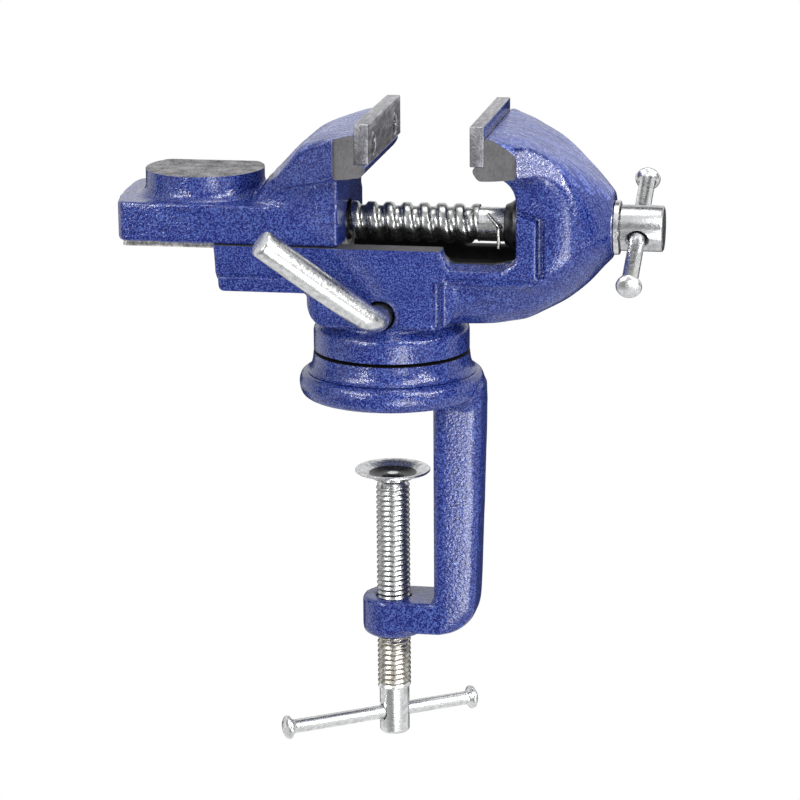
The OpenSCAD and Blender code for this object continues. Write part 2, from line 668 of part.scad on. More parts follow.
module spindle() color(zinc) difference() {
    turns = floor((thread_left + thread_right) / thread_pitch);
    on_axis() rotate_extrude() polygon(concat([[0, thread_right - turns * thread_pitch]],
        ring_thread(thread_d / 2 - thread_depth, thread_d / 2, thread_pitch, turns,
            thread_right - turns * thread_pitch, rope_shares),
        [[shank_d / 2, thread_right], [shank_d / 2, head_x], [head_d / 2, head_x],
         [head_d / 2, head_x + spindle_head_l - 0.05 * head_d],
         [head_d / 2 - 0.05 * head_d, head_x + spindle_head_l], [0, head_x + spindle_head_l]]));
    at_bar() rotate([90, 0, 0]) {
        cylinder(d = bar_d + 2 * bar_gap, h = 2 * head_d, center = true);
    }
    translate([pin_x, 0, z_axis]) rotate([90, 0, 0]) cylinder(d = pin_d + 2 * seat_gap, h = 2 * shank_d, center = true);
}

module outer_washer() color(zinc) translate([washer_x, 0, 0]) on_axis()
    ring(shank_d / 2 + run_gap, 1.18 * head_d / 2, washer_t);

// The black collar: a flat ring at the wall and a flare towards the pin
module inner_washer() color(blackened) translate([collar_x - collar_flare, 0, 0]) on_axis() rotate_extrude()
    polygon([[shank_d / 2 + run_gap, 0], [shank_d / 2 + 0.12 * collar_d / 2, 0], [collar_d / 2, 0.9 * collar_flare],
        [collar_d / 2, collar_flare + collar_t], [shank_d / 2 + run_gap, collar_flare + collar_t]]);

// The pin lies along Y: its eye is at the back, one leg hangs down in front, one is bent up
module split_pin() color(zinc) translate([pin_x, 0, z_axis]) {
    leg_y = -shank_d / 2 - 0.75 * pin_d;
    rotate([90, 0, 0]) translate([0, 0, -shank_d / 2 - pin_d]) cylinder(d = pin_d, h = shank_d + pin_d - leg_y - shank_d / 2);
    translate([0, leg_y, -0.6 * shank_d]) cylinder(d = pin_d, h = 0.6 * shank_d);
    translate([0, leg_y, 0]) sphere(d = pin_d);
    translate([0, leg_y, 0]) rotate([0, -40, 0]) cylinder(d = pin_d, h = 0.55 * shank_d);
    translate([0, shank_d / 2 + 1.9 * pin_d, 0]) rotate([0, 90, 0]) rotate_extrude()
        translate([0.95 * pin_d, 0]) circle(d = 0.9 * pin_d);
}

module spindle_bar() color(zinc) at_bar() rotate([0, 0, 90])
    knobbed_bar(bar_d, bar_knob_d, bar_near, bar_far);

// Lock lever
lever_tip_d = 0.55 * lever_d;
bend_y = -bed_w / 2 - lever_out;
stem_y = -post_d / 2;
tip_y = stem_y + groove_depth - 0.12 * groove_depth;

lever_turn = 90 - lever_lean;
lever_bend_r = 0.72 * lever_d;
lever_setback = lever_bend_r * tan(lever_turn / 2);
lever_lap = 0.01 * lever_d;
lever_bend_d = 1.01 * lever_d;

module lock_lever() color(zinc) translate([0, 0, z_lever]) {
    // the screwed stem, with a cone that ends in the post's groove
    rotate([90, 0, 0]) rotate_extrude() polygon([[0, -tip_y], [lever_tip_d / 2, -tip_y],
        [lever_d / 2, -tip_y + 0.35 * lever_d], [lever_d / 2, -bend_y - lever_setback + lever_lap],
        [0, -bend_y - lever_setback + lever_lap]]);
    // the bend and the arm, in the plane that the arm leans in
    rotate([0, -lever_angle, 0]) translate([lever_bend_r, bend_y + lever_setback, 0]) {
        rotate([0, 0, 180]) rotate_extrude(angle = lever_turn) translate([lever_bend_r, 0]) circle(d = lever_bend_d);
        rotate([0, 0, 180 + lever_turn]) translate([lever_bend_r, 0, 0]) rotate([-90, 0, 0]) rotate_extrude()
            polygon([[0, -lever_lap], [lever_d / 2, -lever_lap], [lever_d / 2, lever_l - lever_setback - 0.1 * lever_d],
                [0.4 * lever_d, lever_l - lever_setback], [0, lever_l - lever_setback]]);
    }
}

// Clamp screw, pad and bar
pad_t = 1.2;
pad_floor_d = 0.46 * pad_d;
rivet_d = 0.52 * clamp_d;
clamp_groove_shares = [[0, 0], [0.12, 0], [0.44, 1], [0.62, 1]];
clamp_depth = 0.62 * clamp_pitch * 0.6;

module clamp_pad() color(zinc) rotate_extrude() polygon([
    [rivet_d / 2 + run_gap, z_pad], [pad_floor_d / 2, z_pad], [0.78 * pad_d / 2, z_rim - 1.35 * pad_t],
    [pad_d / 2, z_rim - 0.7 * pad_t], [pad_d / 2, z_rim], [0.93 * pad_d / 2, z_rim],
    [0.76 * pad_d / 2, z_rim - 0.35 * pad_t], [pad_floor_d / 2 - 0.3 * pad_t, z_pad + pad_t],
    [rivet_d / 2 + run_gap, z_pad + pad_t]]);

module clamp_screw() color(zinc) difference() {
    turns = floor((clamp_thread_l - 0.02 * clamp_thread_l) / clamp_pitch);
    rivet_z = z_pad + pad_t + run_gap;
    rotate_extrude() polygon(concat(
        [[0, z_clamp_end], [0.42 * clamp_head_d, z_clamp_end], [clamp_head_d / 2, z_clamp_end + 0.08 * clamp_head_d],
         [clamp_head_d / 2, z_clamp_head]],
        ring_thread(clamp_d / 2 - clamp_depth, clamp_d / 2, clamp_pitch, turns, z_clamp_head, clamp_groove_shares),
        [[clamp_d / 2 - clamp_depth, z_clamp_head + turns * clamp_pitch], [clamp_d / 2 - clamp_depth, z_pad - run_gap],
         [rivet_d / 2, z_pad - run_gap], [rivet_d / 2, rivet_z], [0.62 * rivet_d, rivet_z],
         [0.62 * rivet_d, rivet_z + 0.25 * pad_t], [0.45 * rivet_d, rivet_z + 0.7 * pad_t], [0, rivet_z + 0.85 * pad_t]]));
    translate([0, 0, z_clamp_hole]) rotate([0, 0, clamp_bar_angle]) rotate([0, 90, 0])
        cylinder(d = clamp_bar_d + 2 * bar_gap, h = 2 * clamp_head_d, center = true);
}

module clamp_bar() color(zinc) translate([0, 0, z_clamp_hole]) rotate([0, 0, clamp_bar_angle])
    knobbed_bar(clamp_bar_d, clamp_knob_d, clamp_bar_near, clamp_bar_far);

clamp_frame();
pivot_post();
swivel_washer();
vise_body();
fixed_jaw_plate();
fixed_jaw_screws();
moving_jaw();
moving_jaw_plate();
moving_jaw_screws();
spindle_nut();
nut_pin();
spindle();
outer_washer();
inner_washer();
split_pin();
spindle_bar();
lock_lever();
clamp_pad();
clamp_screw();
clamp_bar();
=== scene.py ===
"""Swivel bench vise in blue hammertone paint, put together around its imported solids."""
import math

import bpy
import numpy as np
from mathutils import Matrix, Vector


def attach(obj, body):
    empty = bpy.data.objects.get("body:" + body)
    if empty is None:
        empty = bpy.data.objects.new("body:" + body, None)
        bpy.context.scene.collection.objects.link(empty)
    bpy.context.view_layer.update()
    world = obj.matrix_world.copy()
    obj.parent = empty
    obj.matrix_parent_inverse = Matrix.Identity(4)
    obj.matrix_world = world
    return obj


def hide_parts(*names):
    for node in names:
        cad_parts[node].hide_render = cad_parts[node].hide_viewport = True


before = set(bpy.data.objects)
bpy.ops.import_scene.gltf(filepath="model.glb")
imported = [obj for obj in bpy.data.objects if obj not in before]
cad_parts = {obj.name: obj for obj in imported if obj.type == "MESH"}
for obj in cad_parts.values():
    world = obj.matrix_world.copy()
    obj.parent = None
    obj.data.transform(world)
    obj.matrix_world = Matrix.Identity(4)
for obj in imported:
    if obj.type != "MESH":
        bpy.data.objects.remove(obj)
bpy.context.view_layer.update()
mm = 0.001

# Camera: a long lens a metre away, ten degrees round towards the handle and
# looking down a little, with the small roll of a hand-held picture.
azimuth, dip, roll = math.radians(9.998), math.radians(14.685), math.radians(-0.4224)
aim, distance = Vector((2.606 * mm, 0, -2.754 * mm)), 1.02348
backward = Vector((math.sin(azimuth) * math.cos(dip), -math.cos(azimuth) * math.cos(dip), math.sin(dip)))
level = (-backward).cross(Vector((0, 0, 1))).normalized()
upright = level.cross(-backward)
rightward = math.cos(roll) * level + math.sin(roll) * upright
upward = -math.sin(roll) * level + math.cos(roll) * upright
lens = bpy.data.cameras.new("lens")
lens.lens = 138.747
lens.sensor_width = 36.0
lens.clip_start = 0.05
lens.clip_end = 20.0
camera = bpy.data.objects.new("camera", lens)
turn = Matrix((rightward, upward, backward)).transposed().to_4x4()
camera.matrix_world = Matrix.Translation(aim + backward * distance) @ turn
bpy.context.scene.collection.objects.link(camera)
bpy.context.scene.camera = camera
bpy.context.scene.view_settings.view_transform = "Standard"

# Studio: a white room for the camera and the bright metal, softer light from
# it on the paint, a pale floor far below, and soft lamps all round and above.


def feed(tree, node, values):
    """Sets inputs of a node to a number, to a colour or to what another node puts out."""
    for socket, value in values.items():
        if isinstance(value, bpy.types.NodeSocket):
            tree.links.new(value, node.inputs[socket])
        else:
            node.inputs[socket].default_value = value


def add(tree, kind, values=None, **settings):
    """Adds a node of a kind, with its settings and inputs."""
    node = tree.nodes.new("ShaderNode" + kind)
    for setting, value in settings.items():
        setattr(node, setting, value)
    feed(tree, node, values or {})
    return node


def reckon(tree, how, *values):
    """Reckons with numbers or with what other nodes put out."""
    return add(tree, "Math", dict(enumerate(values)), operation=how).outputs[0]


def show(tree, rays, lit, plain, output):
    """Shows the plain shader to the rays that are named, and the lit one to all others."""
    path = add(tree, "LightPath").outputs
    mask = path[rays[0]]
    for ray in rays[1:]:
        mask = reckon(tree, "MAXIMUM", mask, path[ray])
    blend = add(tree, "MixShader", {0: mask, 1: lit.outputs[0], 2: plain.outputs[0]})
    add(tree, output, {"Surface": blend.outputs[0]})


white, floor_z = (1, 1, 1, 1), -0.30
room = bpy.data.worlds.new("room")
bpy.context.scene.world = room
room.use_nodes = True
tree = room.node_tree
tree.nodes.clear()
soft_sky = add(tree, "Background", {"Color": white, "Strength": 0.36})
white_sky = add(tree, "Background", {"Color": white, "Strength": 1.0})
seen_white = ("Is Camera Ray", "Is Glossy Ray", "Is Transmission Ray")
show(tree, seen_white, soft_sky, white_sky, "OutputWorld")

paper = bpy.data.materials.new("paper")
paper.use_nodes = True
tree = paper.node_tree
tree.nodes.clear()
matt = add(tree, "BsdfDiffuse", {"Color": (0.85, 0.85, 0.85, 1)})
glow = add(tree, "Emission", {"Color": white})
show(tree, ("Is Camera Ray", "Is Glossy Ray"), matt, glow, "OutputMaterial")
bpy.ops.object.select_all(action="DESELECT")
bpy.ops.mesh.primitive_plane_add(size=6, location=(0, 0, floor_z))
floor = bpy.context.object
floor.name = "floor"
floor.data.materials.append(paper)

# Cards out of view, which only gloss and bright metal see: black ones give the
# plated bars and screws their dark stripes, grey ones stand for the dim side of
# the room and keep the enamel deep, and bright ones for the faces of soft boxes.


def new_finish(name):
    """A new material, with its nodes and its shader."""
    finish = bpy.data.materials.new(name)
    finish.use_nodes = True
    return finish, finish.node_tree, finish.node_tree.nodes["Principled BSDF"]


card_black, tree, felt = new_finish("card_black")
feed(tree, felt, {"Base Color": (0.015, 0.015, 0.017, 1), "Roughness": 1.0})
card_grey, card_bright = bpy.data.materials.new("card_grey"), bpy.data.materials.new("card_bright")
for tone, strength in ((card_grey, 0.3), (card_bright, 11.0)):
    tone.use_nodes = True
    tree = tone.node_tree
    tree.nodes.clear()
    add(tree, "OutputMaterial", {"Surface": add(tree, "Emission", {"Strength": strength}).outputs[0]})
# a card stands square to the line from the vise to it, unless it is given another way to face
for card_name, place, facing, size, tone in (
        ("card_right", (1.05, -0.10, -0.05), None, (0.34, 1.6), card_black),
        ("card_left", (-1.15, -0.05, -0.05), None, (0.34, 1.4), card_black),
        ("card_back", (0.10, 0.72, 1.00), None, (2.6, 0.42), card_black),
        ("card_rear", (0.10, 0.90, -0.135), (0.10, 0.90, 0), (2.2, 0.32), card_black),
        ("card_rear_low", (0.20, 0.62, -0.295), (0, 0, 1), (1.8, 0.56), card_black),
        ("card_front", (-0.42, -0.95, -0.165), (-0.42, -0.95, 0), (1.0, 0.26), card_grey),
        ("card_front_low", (-0.40, -0.62, -0.295), (0, 0, 1), (0.9, 0.74), card_grey),
        ("card_front_high", (0.12, -1.38, 0.56), None, (1.3, 0.9), card_grey),
        ("card_right_dim", (1.25, -0.97, 0.22), None, (1.2, 0.9), card_grey),
        ("glow_right", (0.63, -0.753, 0.69), None, (0.42, 0.42), card_bright),
        ("glow_left", (-0.753, -0.632, 0.69), None, (0.36, 0.36), card_bright),
        ("glow_low", (0.33, -0.74, -0.294), (0, 0, 1), (0.42, 0.56), card_bright)):
    square_on = Vector(facing or place).to_track_quat("Z", "Y").to_euler()
    bpy.ops.object.select_all(action="DESELECT")
    bpy.ops.mesh.primitive_plane_add(size=1, location=place, rotation=square_on)
    card = bpy.context.object
    card.scale = (size[0], size[1], 1)
    card.name = card_name
    card.data.materials.append(tone)
    card.visible_camera = False
    card.visible_diffuse = False
    card.visible_shadow = False

for lamp_name, place, size, power in (
        ("lamp_right_high", (1.04, -0.50, 0.62), 0.24, 6),
        ("lamp_right", (1.02, -0.72, 0.22), 0.24, 3.6),
        ("lamp_front_low", (0.52, -1.10, -0.13), 0.30, 2.0),
        ("lamp_left_high", (-0.58, -1.02, 0.62), 0.24, 5),
        ("lamp_left", (-0.66, -1.10, 0.12), 0.20, 2.5),
        ("lamp_high", (0.50, -0.60, 0.88), 0.24, 3),
        ("lamp_rear", (-0.45, 1.25, 0.50), 0.6, 6),
        ("lamp_top", (0.0, 0.10, 1.30), 0.5, 4.5)):
    bulb = bpy.data.lights.new(lamp_name, "AREA")
    bulb.shape = "SQUARE"
    bulb.size = size
    bulb.energy = power
    lamp = bpy.data.objects.new(lamp_name, bulb)
    lamp.location = place
    lamp.rotation_euler = (-Vector(place)).to_track_quat("-Z", "Y").to_euler()
    # the lamp behind lights the back, but neither metal nor gloss reflects it
    lamp.visible_glossy = lamp_name != "lamp_rear"
    bpy.context.scene.collection.objects.link(lamp)

# Clamp frame: one iron casting, a round base for the bench top, an upright
# and a lower arm with the screw's boss. Sand cast, bored, and painted all over
# in hammertone, a blue enamel whose metal powder draws into a fine pale net.


def speckle(tree, scale, detail=2, rough=0.5, warp=0, stretch=None):
    """Uneven spots all over a piece; a stretch under 1 draws them out along that axis."""
    where = add(tree, "TexCoord").outputs["Object"]
    if stretch:
        where = add(tree, "Mapping", {"Vector": where, "Scale": stretch}).outputs["Vector"]
    spots = {"Vector": where, "Scale": scale, "Detail": detail, "Roughness": rough, "Distortion": warp}
    return add(tree, "TexNoise", spots).outputs["Fac"]


def spread(tree, value, low=0, high=1, at_low=0, at_high=1, **settings):
    """Carries a value from the range low to high into the range at_low to at_high."""
    ends = {"Value": value, "From Min": low, "From Max": high, "To Min": at_low, "To Max": at_high}
    return add(tree, "MapRange", ends, **settings).outputs["Result"]


def shaded(tree, value, dark, light, low=0, high=1):
    """A colour that turns from dark to light while a value rises from low to high."""
    ramp = add(tree, "ValToRGB", {"Fac": value})
    for stop, place, colour in zip(ramp.color_ramp.elements, (low, high), (dark, light)):
        stop.position = place
        stop.color = colour
    return ramp.outputs["Color"]


def dyed(tree, amount, under, over):
    """One colour drawn over another by an amount."""
    return add(tree, "Mix", {0: amount, 6: under, 7: over}, data_type="RGBA").outputs[2]


def raised(tree, height, strength, depth):
    """The normal of a surface that a pattern raises by up to a depth (mm)."""
    bump = add(tree, "Bump", {"Height": height, "Strength": strength, "Distance": depth * mm})
    return bump.outputs["Normal"]


def new_pattern(name, *colours):
    """A node group that is given a grain and colours, and puts out a colour, a roughness and a height."""
    group = bpy.data.node_groups.new(name, "ShaderNodeTree")
    group.interface.new_socket("Grain", in_out="INPUT", socket_type="NodeSocketFloat")
    for colour in colours:
        group.interface.new_socket(colour, in_out="INPUT", socket_type="NodeSocketColor")
    group.interface.new_socket("Color", in_out="OUTPUT", socket_type="NodeSocketColor")
    group.interface.new_socket("Roughness", in_out="OUTPUT", socket_type="NodeSocketFloat")
    group.interface.new_socket("Height", in_out="OUTPUT", socket_type="NodeSocketFloat")
    return group, group.nodes.new("NodeGroupInput").outputs, group.nodes.new("NodeGroupOutput")


hammer_net, given, result = new_pattern("hammer_net", "Deep", "Pale")
vein = spread(hammer_net, speckle(hammer_net, given["Grain"], 1.2, warp=0.8), 0.49, 0.575,
              interpolation_type="SMOOTHSTEP")
thin = spread(hammer_net, speckle(hammer_net, 90, 3), 0.3, 0.7, 0.65, 1.0)
amount = reckon(hammer_net, "MULTIPLY", vein, thin)
feed(hammer_net, result, {"Color": dyed(hammer_net, amount, given["Deep"], given["Pale"]),
                          "Roughness": spread(hammer_net, vein, at_low=0.20, at_high=0.12),
                          "Height": speckle(hammer_net, 1200, 0.3, warp=0.6)})

hammertone, tree, enamel = new_finish("hammertone_blue")
blues = {"Grain": 2000, "Deep": (0.0015, 0.0065, 0.115, 1), "Pale": (0.074, 0.119, 0.380, 1)}
coat = add(tree, "Group", blues, node_tree=hammer_net).outputs
feed(tree, enamel, {"Base Color": coat["Color"], "Roughness": coat["Roughness"], "Specular IOR Level": 0.5,
                    "Normal": raised(tree, coat["Height"], 1.0, 0.11)})

# bare iron that was bored or left unpainted, oiled, and painted near black as painted shade in the channel,
# the bores and the gap between the castings
oiled_and_shaded, tree, shade_oil = new_finish("oiled_black_painted_shade")
smears = speckle(tree, 300, 4)
oil_and_shade_black = shaded(tree, smears, (0.004, 0.004, 0.004, 1), (0.022, 0.020, 0.019, 1))
feed(tree, shade_oil, {"Base Color": oil_and_shade_black, "Roughness": 0.5, "Specular IOR Level": 0.25,
                   "Normal": raised(tree, smears, 0.4, 0.15)})


def alone(thing):
    """Makes one object the only selected one, and the active one."""
    bpy.ops.object.select_all(action="DESELECT")
    thing.select_set(True)
    bpy.context.view_layer.objects.active = thing


def settle(thing, kind, **settings):
    """Adds a modifier with its settings and applies it at once."""
    alone(thing)
    step = thing.modifiers.new("step", kind)
    for setting, value in settings.items():
        setattr(step, setting, value)
    bpy.ops.object.modifier_apply(modifier="step")


def close_up(gap):
    """Merges corners of the chosen piece that lie within a gap (mm), and turns its faces outwards."""
    bpy.ops.object.mode_set(mode="EDIT")
    bpy.ops.mesh.select_all(action="SELECT")
    bpy.ops.mesh.remove_doubles(threshold=gap * mm)
    bpy.ops.mesh.normals_make_consistent(inside=False)
    bpy.ops.object.mode_set(mode="OBJECT")


def raw_casting(node, name):
    """A merged copy of a casting's solid, to be shaped further."""
    piece = bpy.data.objects.new(name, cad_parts[node].data.copy())
    piece.data.materials.clear()
    bpy.context.scene.collection.objects.link(piece)
    alone(piece)
    close_up(0.002)
    return piece


def pick_corners(piece, pick):
    """Opens a piece for editing, with only those corners selected that pick chooses (mm)."""
    alone(piece)
    bpy.ops.object.mode_set(mode="EDIT")
    bpy.ops.mesh.select_mode(type="VERT")
    bpy.ops.mesh.select_all(action="DESELECT")
    bpy.ops.object.mode_set(mode="OBJECT")
    for corner in piece.data.vertices:
        corner.select = bool(pick(*(corner.co / mm)))
    bpy.ops.object.mode_set(mode="EDIT")


def add_stock(piece, pick, by):
    """Moves the corners that pick chooses (mm), so that the cutter has metal to take off."""
    pick_corners(piece, pick)
    bpy.ops.transform.translate(value=[step * mm for step in by])
    bpy.ops.object.mode_set(mode="OBJECT")


def block(low, high, spin=(0, 0, 0)):
    """A box between two corners (mm), turned about its middle by degrees."""
    bpy.ops.object.select_all(action="DESELECT")
    bpy.ops.mesh.primitive_cube_add(size=1, location=[(a + b) / 2 * mm for a, b in zip(low, high)],
                                    rotation=[math.radians(a) for a in spin])
    bpy.context.object.scale = [(b - a) * mm for a, b in zip(low, high)]
    bpy.ops.object.transform_apply(location=True, rotation=True, scale=True)
    return bpy.context.object


def rod(radius, start, end, corners=64, far_radius=None):
    """A round bar, or a cone with another far radius, between two points (mm)."""
    start, end = Vector(start) * mm, Vector(end) * mm
    bpy.ops.object.select_all(action="DESELECT")
    bpy.ops.mesh.primitive_cone_add(vertices=corners, radius1=radius * mm,
                                    radius2=(radius if far_radius is None else far_radius) * mm,
                                    depth=(end - start).length, location=(start + end) / 2,
                                    rotation=(end - start).to_track_quat("Z", "Y").to_euler())
    bpy.ops.object.transform_apply(location=True, rotation=True, scale=True)
    return bpy.context.object


def combine(piece, tool, how="DIFFERENCE"):
    """Cuts a tool shape out of a piece or joins it on, and takes the tool away."""
    alone(piece)
    step = piece.modifiers.new("step", "BOOLEAN")
    step.operation = how
    step.solver = "MANIFOLD"
    step.object = tool
    bpy.ops.object.modifier_apply(modifier="step")
    bpy.data.objects.remove(tool)


def sand_cast(piece, rounds, grain=0.46, keep=0.36):
    """Rounds every edge of a casting, as its sand mould does."""
    settle(piece, "REMESH", mode="VOXEL", voxel_size=grain * mm)
    settle(piece, "SMOOTH", factor=0.5, iterations=rounds)
    settle(piece, "DECIMATE", ratio=keep)


def soften(piece, rounds, weigh, grain=0.8):
    """Evens out a casting's mesh, and rounds it where weigh(x, y, z) in mm gives more than nothing."""
    settle(piece, "REMESH", mode="VOXEL", voxel_size=grain * mm)
    soft = piece.vertex_groups.new(name="soft")
    place = np.zeros(len(piece.data.vertices) * 3)
    piece.data.vertices.foreach_get("co", place)
    amount = np.clip(weigh(*(place.reshape(-1, 3) / mm).T), 0, 1)
    for corner in np.flatnonzero(amount > 0.01):
        soft.add([int(corner)], float(amount[corner]), "REPLACE")
    settle(piece, "SMOOTH", factor=0.5, iterations=rounds, vertex_group="soft")
    piece.vertex_groups.clear()


def paint_faces(piece, materials, choose=lambda x, *rest: x * 0):
    """Rids a finished piece of slivers, and gives each face the material that choose
    names by number, from the face's centre (mm) and normal, or else the first one."""
    alone(piece)
    bpy.ops.object.mode_set(mode="EDIT")
    bpy.ops.mesh.select_all(action="SELECT")
    bpy.ops.mesh.remove_doubles(threshold=0.001 * mm)
    bpy.ops.mesh.dissolve_degenerate(threshold=0.001 * mm)
    bpy.ops.object.mode_set(mode="OBJECT")
    mesh = piece.data
    mesh.materials.clear()
    for material in materials:
        mesh.materials.append(material)
    centre = np.zeros(len(mesh.polygons) * 3)
    normal = np.zeros(len(mesh.polygons) * 3)
    mesh.polygons.foreach_get("center", centre)
    mesh.polygons.foreach_get("normal", normal)
    x, y, z = (centre.reshape(-1, 3) / mm).T
    nx, ny, nz = normal.reshape(-1, 3).T
    mesh.polygons.foreach_set("material_index", choose(x, y, z, nx, ny, nz).astype(np.int32))
    bpy.ops.object.shade_smooth_by_angle(angle=math.radians(30))


def trace(points):
    """A wire from one point (mm) to the next, drawn by extruding its first corner."""
    bpy.ops.object.select_all(action="DESELECT")
    bpy.ops.mesh.primitive_plane_add(size=mm, location=[step * mm for step in points[0]])
    wire = bpy.context.object
    bpy.ops.object.transform_apply(location=True, rotation=True, scale=True)
    bpy.ops.object.mode_set(mode="EDIT")
    bpy.ops.mesh.select_mode(type="VERT")
    bpy.ops.mesh.select_all(action="SELECT")
    bpy.ops.mesh.merge(type="CENTER")
    for here, there in zip(points, points[1:]):
        step = [(b - a) * mm for a, b in zip(here, there)]
        bpy.ops.mesh.extrude_region_move(TRANSFORM_OT_translate={"value": step})
    bpy.ops.object.mode_set(mode="OBJECT")
    return wire


def turned(name, outline, steps=96):
    """A solid turned about Z from its outline of (radius, height) in mm."""
    piece = trace([(r, 0, z) for r, z in outline])
    piece.name = name
    settle(piece, "SCREW", axis="Z", angle=math.tau, steps=steps, render_steps=steps)
    close_up(0.0008)
    return piece


ring_top, clamp_bore, upright_half = 14.5, 5.71, 10.25
base_cast = raw_casting("clamp_frame", "base_casting")
add_stock(base_cast, lambda x, y, z: z > ring_top - 0.05, (0, 0, 1.2))
for side in (-1, 1):
    # the upright's inner edges are rounded off
    edge_y = side * upright_half
    combine(base_cast, block((13.2, edge_y - 1.3, -69), (16.8, edge_y + 1.3, -2), (0, 0, side * 45)))
# the boss is rounded at the bottom
combine(base_cast, turned("round_off", [(12, -85), (8.2, -85), (8.2, -83.6), (9.4, -83.2), (10.2, -82.2),
                                        (10.4, -80.6), (12, -80.6), (12, -85)]))
# the upright's broad faces are crowned: they fall back towards its outer edge
combine(base_cast, block((19.8, 8.2, -90), (45.3, 13.95, -2), (0, 0, -9)))
combine(base_cast, block((19.8, -13.95, -90), (45.3, -8.2, -2), (0, 0, 9)))
# and that edge stands out a little
add_stock(base_cast, lambda x, y, z: x > 27 and z < -5 and abs(y) < 12, (0.6, 0, 0))
soften(base_cast, 90, lambda x, y, z: np.minimum((x - 17) / 6, (-3 - z) / 6))
sand_cast(base_cast, 4)
# a crease runs round the foot of the ring, whose top is faced, and the boss is bored
combine(base_cast, turned("crease", [(27.4, 8.2), (30.6, 7.6), (30.6, 9.0), (27.4, 8.2)]))
combine(base_cast, block((-40, -40, ring_top), (40, 40, 20)))
combine(base_cast, rod(clamp_bore, (0, 0, -90), (0, 0, -60)))


def base_faces(x, y, z, nx, ny, nz):
    """Oiled iron painted near black as painted shade on the ring's top and in the screw's bore, paint on all
    the rest.
    """
    return (z > ring_top - 0.02) | ((np.hypot(x, y) < clamp_bore + 0.05) & (z < -60))


paint_faces(base_cast, [hammertone, oiled_and_shaded], base_faces)
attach(base_cast, "clamp_frame")
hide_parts("clamp_frame")

# Pivot post and washer: a steel post pressed into the base, with the groove
# that the lever's point presses in, and a black ring that parts the castings.
zinc_cloud, given, result = new_pattern("zinc_cloud", "Dull", "Bright")
patch = spread(zinc_cloud, speckle(zinc_cloud, 620, 5, 0.65), 0.36, 0.62)
feed(zinc_cloud, result, {"Color": dyed(zinc_cloud, patch, given["Dull"], given["Bright"]),
                          "Roughness": spread(zinc_cloud, patch, at_low=0.36, at_high=0.20),
                          "Height": speckle(zinc_cloud, given["Grain"])})


def plated(name, dull, bright, grain, depth):
    """A bright zinc finish, with its own tint and depth of grain (mm)."""
    finish, tree, metal = new_finish(name)
    tones = {"Dull": dull + (1,), "Bright": bright + (1,), "Grain": grain}
    cloud = add(tree, "Group", tones, node_tree=zinc_cloud).outputs
    feed(tree, metal, {"Base Color": cloud["Color"], "Metallic": 1.0, "Roughness": cloud["Roughness"],
                       "Normal": raised(tree, cloud["Height"], 0.5, depth)})
    return finish


def one_finish(piece, finish):
    """Gives a whole piece one material."""
    piece.data.materials.clear()
    piece.data.materials.append(finish)


zinc = plated("zinc_plate", (0.50, 0.505, 0.51), (0.74, 0.745, 0.75), 1500, 0.06)
one_finish(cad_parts["pivot_post"], zinc)

blackened, tree, black = new_finish("blackened_steel")
worn = speckle(tree, 500, 4)
jet = shaded(tree, worn, (0.008, 0.008, 0.009, 1), (0.06, 0.06, 0.062, 1), 0.4, 0.75)
feed(tree, black, {"Base Color": jet, "Metallic": 0.6,
                   "Roughness": spread(tree, worn, at_low=0.22, at_high=0.45)})
# the washer is blackened steel, and its black also stands as painted shade in the gap between the castings
one_finish(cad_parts["swivel_washer"], blackened)

# Vise body: the second casting, with the neck that swivels, the boss for the
# lever, the bed with its channel, the throat and the fixed jaw that runs out
# into the nose. Painted, then machined on the bed, the jaw's sides and its seat.
machined, tree, iron = new_finish("machined_iron")
strokes = speckle(tree, 1500, 3, stretch=(1, 1, 0.5))
mottle = reckon(tree, "MULTIPLY", reckon(tree, "ADD", strokes, speckle(tree, 190, 5, 0.65)), 0.5)
dull_grey = shaded(tree, mottle, (0.078, 0.076, 0.080, 1), (0.112, 0.109, 0.114, 1), 0.42, 0.58)
feed(tree, iron, {"Base Color": dull_grey, "Metallic": 0.2, "Roughness": 0.5, "Specular IOR Level": 0.3,
                  "Normal": raised(tree, strokes, 0.35, 0.05)})


def retoned(finish, name, dark, light):
    """A copy of a finish with other tones."""
    copy = finish.copy()
    copy.name = name
    stops = copy.node_tree.nodes["Color Ramp"].color_ramp.elements
    stops[0].color, stops[1].color = dark, light
    return copy


# the rail that slides in the bed's channel is rubbed, and painted much brighter as painted light where the
# slide shades it; the anvil's face is stained
rubbed_and_lit = retoned(machined, "machined_rubbed_lit_rail", (0.22, 0.215, 0.20, 1), (0.70, 0.69, 0.66, 1))
stained = retoned(machined, "machined_stained", (0.05, 0.049, 0.052, 1), (0.27, 0.262, 0.275, 1))
tree = stained.node_tree
blots = speckle(tree, 160, 4, warp=0.8)
feed(tree, tree.nodes["Principled BSDF"], {"Roughness": spread(tree, blots, 0.42, 0.60, 0.42, 0.72)})

# the jaws' sloping tops show fine streaks from linishing under the paint, and are painted paler: painted
# light from above on the tops
linished_lit_top, tree, enamel = new_finish("hammertone_linished_lit_top")
blues = {"Grain": 1300, "Deep": (0.030, 0.055, 0.30, 1), "Pale": (0.20, 0.26, 0.62, 1)}
coat = add(tree, "Group", blues, node_tree=hammer_net).outputs
lines = speckle(tree, 620, warp=0.4, stretch=(0.12, 1, 0.2))
heights = reckon(tree, "MULTIPLY_ADD", lines, 2.2, coat["Height"])
streak = spread(tree, lines, 0.41, 0.53)
feed(tree, enamel, {"Base Color": dyed(tree, streak, (0.017, 0.034, 0.20, 1), coat["Color"]),
                    "Roughness": coat["Roughness"], "Specular IOR Level": 0.5,
                    "Normal": raised(tree, heights, 1.0, 0.30)})


def plane_sides(piece, near, far):
    """Machines both sides of a jaw flat between two places along the vise (mm)."""
    for side in (-1, 1):
        low, high = sorted((side * jaw_side, side * 40))
        combine(piece, block((near, low, 60), (far, high, 100)))


